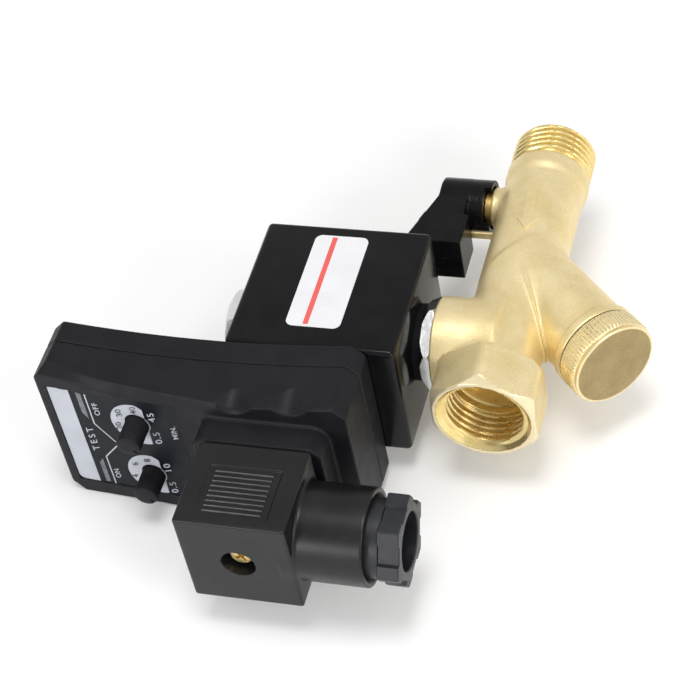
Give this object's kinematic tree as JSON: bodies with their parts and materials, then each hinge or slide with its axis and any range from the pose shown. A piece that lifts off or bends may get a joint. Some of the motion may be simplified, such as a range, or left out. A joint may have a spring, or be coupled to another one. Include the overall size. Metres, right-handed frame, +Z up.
{
  "type": "automatic drain valve",
  "caption": "Timed condensate drain: brass Y body with ball valve, strainer and solenoid valve, black coil, timer with delay and discharge dials and a square cable connector.",
  "frame": {"origin": "centre of the outlet mouth, on the flow axis", "axes": "+Y along the flow axis from outlet to inlet; -X towards the coil, timer and handle; +Z up, out of the coil's labelled face"},
  "size_m": [0.1397, 0.1408, 0.0449],
  "materials": {
    "brass_forged": "sand-blasted forging, satin",
    "brass_turned": "turned and knurled, bright",
    "bronze_ring": "turned, dull",
    "stainless": "turned, satin",
    "ball_chrome": "polished",
    "magnet_steel": "plain",
    "seat_white": "smooth",
    "handle_black": "moulded, semi-matt",
    "coil_black": "moulded, satin gloss",
    "timer_black": "moulded, fine grain",
    "connector_black": "moulded, semi-matt",
    "gland_black": "moulded, matt",
    "nut_pale": "zinc plated, dull",
    "rubber_black": "matt",
    "label_white": "printed film",
    "nameplate_grey": "printed film",
    "panel_black": "printed film",
    "window_smoke": "smoke tinted, clear",
    "lamp_red": "moulded lens",
    "board_green": "lacquered board",
    "relay_blue": "moulded",
    "nylon_grey": "moulded",
    "copper_wire": "enamelled",
    "tinned": "tin plated"
  },
  "bodies": {
    "valve_unit": {"valve_body": "brass_forged", "ball_seat_inlet": "seat_white", "ball_seat_outlet": "seat_white", "seat_retainer": "brass_turned", "stem_packing": "seat_white", "stem_gland": "bronze_ring", "core_tube": "stainless", "tube_o_ring": "rubber_black", "fixed_core": "magnet_steel", "plunger_spring": "stainless", "coil_case": "coil_black", "coil_yoke": "magnet_steel", "coil_bobbin": "nylon_grey", "coil_winding": "copper_wire", "coil_terminals": "tinned", "coil_washer": "rubber_black", "coil_nut": "nut_pale", "coil_label": "label_white", "coil_gasket": "rubber_black", "timer_rear_housing": "timer_black", "timer_front_housing": "timer_black", "timer_nameplate": "nameplate_grey", "timer_label": "panel_black", "off_lamp_window": "window_smoke", "on_lamp_window": "window_smoke", "off_lamp": "lamp_red", "on_lamp": "lamp_red", "test_switch": "nylon_grey", "delay_pot": "nylon_grey", "discharge_pot": "nylon_grey", "timer_board": "board_green", "timer_relay": "relay_blue", "timer_capacitor": "coil_black", "timer_sockets": "nylon_grey", "timer_blades": "tinned", "housing_screws": "stainless", "connector_gasket": "rubber_black", "connector_housing": "connector_black", "connector_insert": "nylon_grey", "connector_terminals": "tinned", "fixing_screw": "brass_turned", "gland_grommet": "rubber_black"},
    "ball_drive": {"handle": "handle_black", "handle_screw": "stainless", "ball_stem": "stainless", "ball": "ball_chrome"},
    "plunger_unit": {"plunger": "magnet_steel", "plunger_seal": "rubber_black"},
    "strainer_unit": {"strainer_screen": "stainless", "cap_gasket": "rubber_black"},
    "cap_unit": {"strainer_cap": "brass_turned"},
    "delay_control": {"delay_knob": "timer_black", "delay_pot_shaft": "nylon_grey"},
    "discharge_control": {"discharge_knob": "timer_black", "discharge_pot_shaft": "nylon_grey"},
    "test_key": {"test_button": "panel_black"},
    "gland_ring_unit": {"gland_washer": "stainless"},
    "gland_unit": {"gland_nut": "gland_black"}
  },
  "joints": [
    {"name": "ball_valve_turn", "type": "hinge", "parent": "valve_unit", "child": "ball_drive", "pos_m": [-0.0176, 0.07, 0], "axis": [1, 0, 0], "range_deg": [0, 90]},
    {"name": "plunger_lift", "type": "slide", "parent": "valve_unit", "child": "plunger_unit", "axis": [-1, 0, 0], "range_m": [0, 0.0015], "stiffness_N_per_m": 300, "springref_m": -0.004, "deforming": ["plunger_spring"]},
    {"name": "delay_turn", "type": "hinge", "parent": "valve_unit", "child": "delay_control", "pos_m": [-0.08, -0.0229, 0.0053], "axis": [0, 1, 0], "range_deg": [0, 266]},
    {"name": "discharge_turn", "type": "hinge", "parent": "valve_unit", "child": "discharge_control", "pos_m": [-0.08, -0.0229, -0.0133], "axis": [0, 1, 0], "range_deg": [0, 266]},
    {"name": "test_press", "type": "slide", "parent": "valve_unit", "child": "test_key", "axis": [0, 1, 0], "range_m": [0, 0.0004], "stiffness_N_per_m": 1500, "springref_m": -0.0006},
    {"name": "strainer_slide", "type": "slide", "parent": "valve_unit", "child": "strainer_unit", "axis": [0.7071, -0.7071, 0], "range_m": [0, 0.0045]},
    {"name": "cap_turn", "type": "hinge", "parent": "strainer_unit", "child": "cap_unit", "pos_m": [0.0269, 0.0211, 0], "axis": [0.7071, -0.7071, 0], "range_deg": [0, 1080]},
    {"name": "gland_slide", "type": "slide", "parent": "valve_unit", "child": "gland_ring_unit", "axis": [1, 0, 0], "range_m": [0, 0.00423]},
    {"name": "gland_turn", "type": "hinge", "parent": "gland_ring_unit", "child": "gland_unit", "pos_m": [-0.0088, -0.037, 0], "axis": [1, 0, 0], "range_deg": [0, 1080]}
  ],
  "couplings": [
    {"joint": "cap_turn", "follows": "strainer_slide", "rad_per_m": 4188.8},
    {"joint": "gland_turn", "follows": "gland_slide", "rad_per_m": 4456.2}
  ]
}
